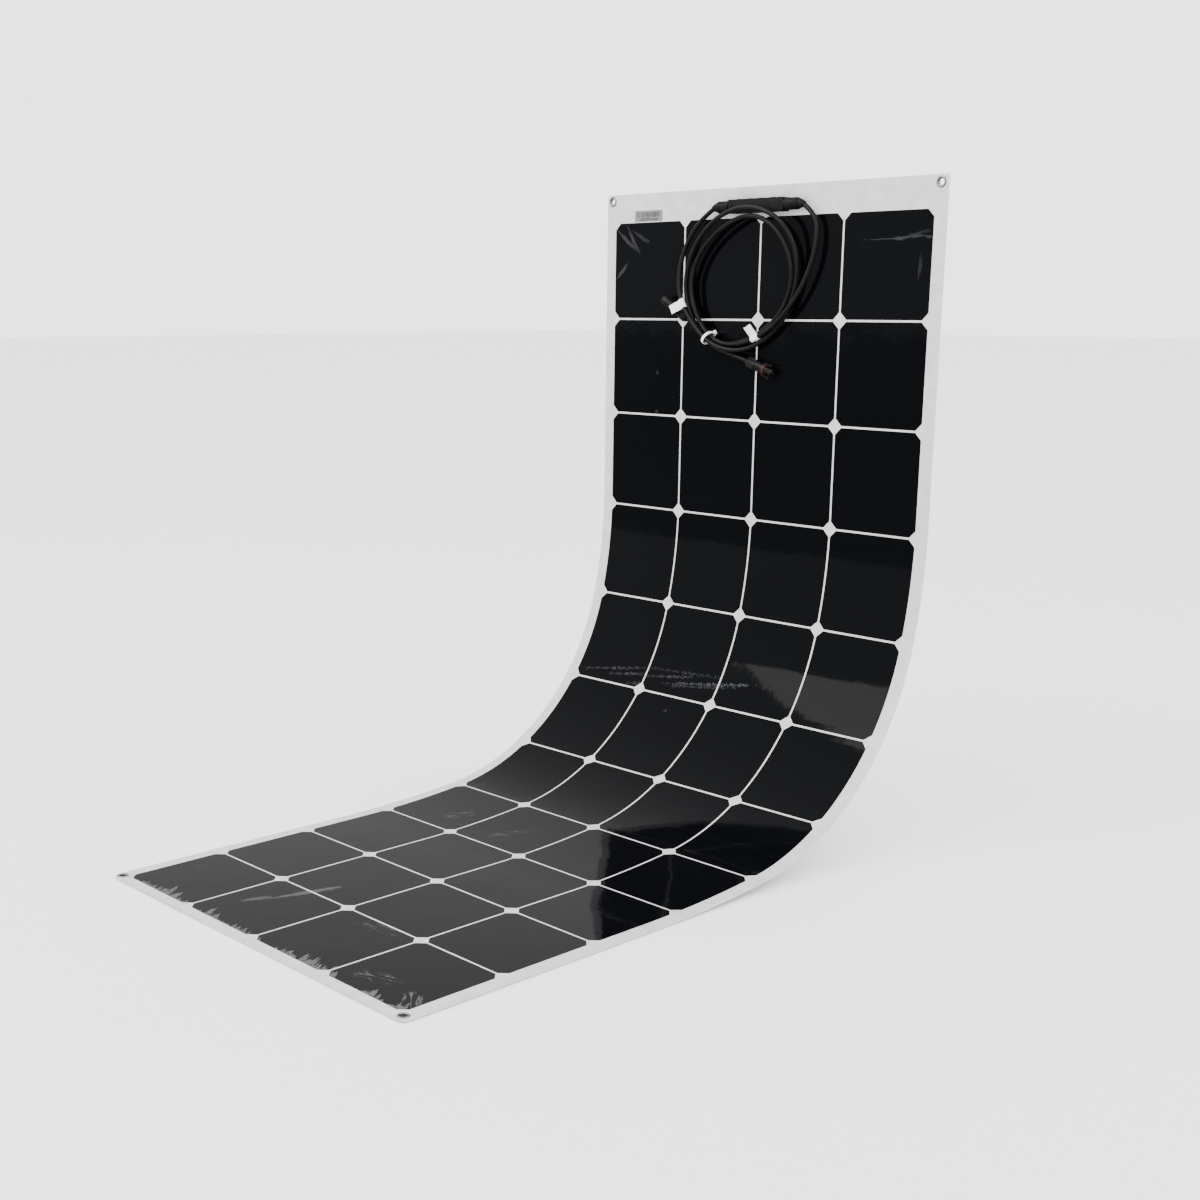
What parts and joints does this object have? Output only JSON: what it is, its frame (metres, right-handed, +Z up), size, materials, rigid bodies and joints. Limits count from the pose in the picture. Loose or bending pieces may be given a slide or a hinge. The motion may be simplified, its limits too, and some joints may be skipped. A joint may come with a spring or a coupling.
{
  "type": "flexible solar sheet",
  "caption": "Bendable solar sheet with dark square cells on a white backing, four corner eyelets, a slim junction box and two cables coiled and tied in front.",
  "frame": {"origin": "midway between the two top eyelets, on the back face of the sheet", "axes": "+X across the sheet, to the right when the cells face the viewer; +Z up along the upright part; -Y out of the cell side, so +Y points into what the sheet is fastened to"},
  "size_m": [0.54, 0.811, 0.7923],
  "materials": {
    "white_backsheet": "satin white laminate",
    "encapsulant": "clear milky resin between the cells",
    "front_film": "clear glossy film",
    "cell_black": "near-black silicon under gloss",
    "copper_ribbon": "tinned copper",
    "nickel_plate": "bright nickel plate",
    "label_paper": "grey printed film",
    "flag_paper": "white paper film",
    "tie_nylon": "natural nylon",
    "cable_jacket": "satin black jacket",
    "box_plastic": "satin black moulding",
    "black_rubber": "matt black rubber",
    "adhesive": "grey silicone",
    "diode_black": "moulded epoxy",
    "orange_rubber": "orange silicone",
    "tin_contact": "tinned contact",
    "connector_plastic": "satin black moulding"
  },
  "bodies": {
    "upper": {"backsheet_upper": "white_backsheet", "cell_joints_upper": "copper_ribbon", "cells_upper": "cell_black", "encapsulant_upper": "encapsulant", "front_film_upper": "front_film", "box_adhesive": "adhesive", "box_base": "box_plastic", "box_lid": "box_plastic", "box_terminals": "copper_ribbon", "bypass_diodes": "diode_black", "cable_clamps": "black_rubber", "cable_left": "cable_jacket", "cable_right": "cable_jacket", "cable_tails": "cable_jacket", "cable_tie": "tie_nylon", "connector_contacts": "tin_contact", "eyelet_washers_top": "nickel_plate", "eyelets_top": "nickel_plate", "flag_left": "flag_paper", "flag_right": "flag_paper", "gland_boot_left": "black_rubber", "gland_boot_right": "black_rubber", "gland_bushes": "black_rubber", "margin_label": "label_paper", "sealing_ring": "orange_rubber", "socket_body": "connector_plastic", "spigot_body": "connector_plastic"},
    "row_4": {"backsheet_row_4": "white_backsheet", "cell_joints_row_4": "copper_ribbon", "cells_row_4": "cell_black", "encapsulant_row_4": "encapsulant", "front_film_row_4": "front_film"},
    "row_5": {"backsheet_row_5": "white_backsheet", "cell_joints_row_5": "copper_ribbon", "cells_row_5": "cell_black", "encapsulant_row_5": "encapsulant", "front_film_row_5": "front_film"},
    "row_6": {"backsheet_row_6": "white_backsheet", "cell_joints_row_6": "copper_ribbon", "cells_row_6": "cell_black", "encapsulant_row_6": "encapsulant", "front_film_row_6": "front_film"},
    "row_7": {"backsheet_row_7": "white_backsheet", "cell_joints_row_7": "copper_ribbon", "cells_row_7": "cell_black", "encapsulant_row_7": "encapsulant", "front_film_row_7": "front_film"},
    "lower": {"backsheet_lower": "white_backsheet", "cell_joints_lower": "copper_ribbon", "cells_lower": "cell_black", "encapsulant_lower": "encapsulant", "front_film_lower": "front_film", "eyelets_bottom": "nickel_plate", "eyelet_washers_bottom": "nickel_plate"},
    "latch_arm_far": {"latch_arm_far": "connector_plastic"},
    "latch_arm_near": {"latch_arm_near": "connector_plastic"},
    "gland_nut_left": {"gland_nut_left": "box_plastic"},
    "gland_nut_right": {"gland_nut_right": "box_plastic"},
    "cap_nut_spigot": {"cap_nut_spigot": "connector_plastic"},
    "cap_nut_socket": {"cap_nut_socket": "connector_plastic"}
  },
  "joints": [
    {"name": "bend_rows_3_4", "type": "hinge", "parent": "upper", "child": "row_4", "pos_m": [0, -0.00139, -0.41025], "axis": [1, 0, 0], "range_deg": [-5, 7.65]},
    {"name": "bend_rows_4_5", "type": "hinge", "parent": "row_4", "child": "row_5", "pos_m": [0, -0.01833, -0.53635], "axis": [1, 0, 0], "range_deg": [-5, 18.02]},
    {"name": "bend_rows_5_6", "type": "hinge", "parent": "row_5", "child": "row_6", "pos_m": [0, -0.07318, -0.65049], "axis": [1, 0, 0], "range_deg": [-5, 23.24]},
    {"name": "bend_rows_6_7", "type": "hinge", "parent": "row_6", "child": "row_7", "pos_m": [0, -0.16861, -0.73371], "axis": [1, 0, 0], "range_deg": [-5, 23.24]},
    {"name": "bend_rows_7_8", "type": "hinge", "parent": "row_7", "child": "lower", "pos_m": [0, -0.28914, -0.77253], "axis": [1, 0, 0], "range_deg": [-5, 17.85]},
    {"name": "gland_turn_left", "type": "hinge", "parent": "upper", "child": "gland_nut_left", "pos_m": [-0.055, -0.0105, -0.0155], "axis": [-1, 0, 0], "range_deg": [0, 360]},
    {"name": "gland_turn_right", "type": "hinge", "parent": "upper", "child": "gland_nut_right", "pos_m": [0.055, -0.0105, -0.0155], "axis": [1, 0, 0], "range_deg": [0, 360]},
    {"name": "cap_turn_spigot", "type": "hinge", "parent": "upper", "child": "cap_nut_spigot", "pos_m": [-0.00141, -0.01027, -0.20903], "axis": [0.9486, 0.0158, -0.3162], "range_deg": [0, 360]},
    {"name": "cap_turn_socket", "type": "hinge", "parent": "upper", "child": "cap_nut_socket", "pos_m": [-0.1203, -0.01025, -0.14968], "axis": [-0.8375, -0.0811, 0.5403], "range_deg": [0, 360]},
    {"name": "latch_press_near", "type": "hinge", "parent": "upper", "child": "latch_arm_near", "pos_m": [0.02006, -0.00996, -0.20817], "axis": [-0.015, 0.9999, 0.005], "range_deg": [0, 4], "stiffness_Nm_per_rad": 0.5},
    {"name": "latch_press_far", "type": "hinge", "parent": "upper", "child": "latch_arm_far", "pos_m": [0.01525, -0.00996, -0.22259], "axis": [0.015, -0.9999, -0.005], "range_deg": [0, 4], "stiffness_Nm_per_rad": 0.5}
  ]
}
